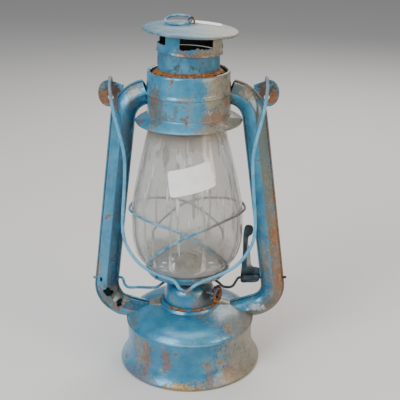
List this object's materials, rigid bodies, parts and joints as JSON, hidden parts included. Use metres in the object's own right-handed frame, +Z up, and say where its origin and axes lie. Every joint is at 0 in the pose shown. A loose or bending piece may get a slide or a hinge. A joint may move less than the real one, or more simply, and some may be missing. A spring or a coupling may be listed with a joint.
{
  "type": "hurricane lantern",
  "caption": "Tubular kerosene hurricane lantern: fuel fount, twin air tubes, hood and crown, glass globe on a lifting plate with crossed wire guard, wick burner and wire bail.",
  "frame": {"origin": "centre of the foot, in the plane the lantern stands on", "axes": "+Z up, -Y to the front where the bail hangs, +X to the side with the lift lever"},
  "size_m": [0.1712, 0.126, 0.3095],
  "materials": {
    "blue_paint": "old sky-blue paint, chipped, streaked with rust",
    "faded_paint": "faded blue-grey paint, stained brown",
    "rusty_steel": "rough orange-brown rust",
    "dark_steel": "dark worn metal with rust at its edges",
    "plain_steel": "dull tinned steel",
    "brass": "tarnished brown brass",
    "glass": "clear blown glass, dusty and scratched",
    "paper": "blank white paper label",
    "cotton": "flat woven cotton, charred at the tip",
    "cork": "pressed cork washer"
  },
  "bodies": {
    "frame": {"fount_wall": "blue_paint", "fount_floor": "plain_steel", "fount_dome": "blue_paint", "fount_collar_ring": "rusty_steel", "air_chamber": "blue_paint", "air_duct_left": "blue_paint", "air_duct_right": "blue_paint", "burner_collar": "brass", "burner_body": "brass", "burner_cone": "brass", "wick_tube": "brass", "filler_neck": "plain_steel", "hood": "blue_paint", "hood_top": "faded_paint", "tube_left_front": "blue_paint", "tube_left_back": "blue_paint", "tube_right_front": "blue_paint", "tube_right_back": "blue_paint", "ear_left": "blue_paint", "ear_right": "blue_paint"},
    "lift": {"crank_wire": "dark_steel", "lift_lever": "dark_steel"},
    "globe_carrier": {"globe_plate": "blue_paint", "guard_wire_a": "blue_paint", "guard_wire_b": "blue_paint", "globe": "glass", "glass_label": "paper"},
    "crown": {"chimney": "faded_paint", "crown_collar": "blue_paint", "crown_cap": "faded_paint", "ring_staple": "rusty_steel", "cap_label": "paper"},
    "lift_ring": {"lift_ring": "blue_paint"},
    "bail": {"bail": "blue_paint"},
    "wick_adjuster": {"wick_shaft": "plain_steel", "wick_ratchet_left": "brass", "wick_ratchet_right": "brass", "wick_knob": "rusty_steel"},
    "wick": {"wick": "cotton"},
    "cap_seal": {"filler_gasket": "cork"},
    "filler_cap": {"filler_cap": "blue_paint"}
  },
  "joints": [
    {"name": "lift_lever_turn", "type": "hinge", "parent": "frame", "child": "lift", "pos_m": [0, 0, 0.0787], "axis": [-1, 0, 0], "range_deg": [0, 38]},
    {"name": "globe_rise", "type": "slide", "parent": "frame", "child": "globe_carrier", "axis": [0, 0, 1], "range_m": [0, 0.0102]},
    {"name": "crown_lift", "type": "slide", "parent": "globe_carrier", "child": "crown", "axis": [0, 0, 1], "range_m": [0, 0.014]},
    {"name": "lift_ring_swing", "type": "hinge", "parent": "crown", "child": "lift_ring", "pos_m": [0.00239, 0, 0.30676], "axis": [0, 1, 0], "range_deg": [0, 160]},
    {"name": "bail_swing", "type": "hinge", "parent": "frame", "child": "bail", "pos_m": [0, 0, 0.2513], "axis": [-1, 0, 0], "range_deg": [0, 255]},
    {"name": "wick_knob_turn", "type": "hinge", "parent": "frame", "child": "wick_adjuster", "pos_m": [-0.00215, -0.00372, 0.0708], "axis": [0.866, -0.5, 0], "range_deg": [-70, 70]},
    {"name": "wick_rise", "type": "slide", "parent": "frame", "child": "wick", "axis": [0, 0, 1], "range_m": [-0.0039, 0.0039]},
    {"name": "filler_cap_rise", "type": "slide", "parent": "frame", "child": "cap_seal", "axis": [0, 0.2588, 0.9659], "range_m": [0, 0.00899]},
    {"name": "filler_cap_turn", "type": "hinge", "parent": "cap_seal", "child": "filler_cap", "pos_m": [0, 0.0405, 0.05245], "axis": [0, 0.2588, 0.9659], "range_deg": [0, 1080]}
  ],
  "couplings": [
    {"joint": "lift_lever_turn", "follows": "globe_rise", "rad_per_m": 64.516},
    {"joint": "wick_knob_turn", "follows": "wick_rise", "rad_per_m": 312.5},
    {"joint": "filler_cap_turn", "follows": "filler_cap_rise", "rad_per_m": 2094.4}
  ]
}
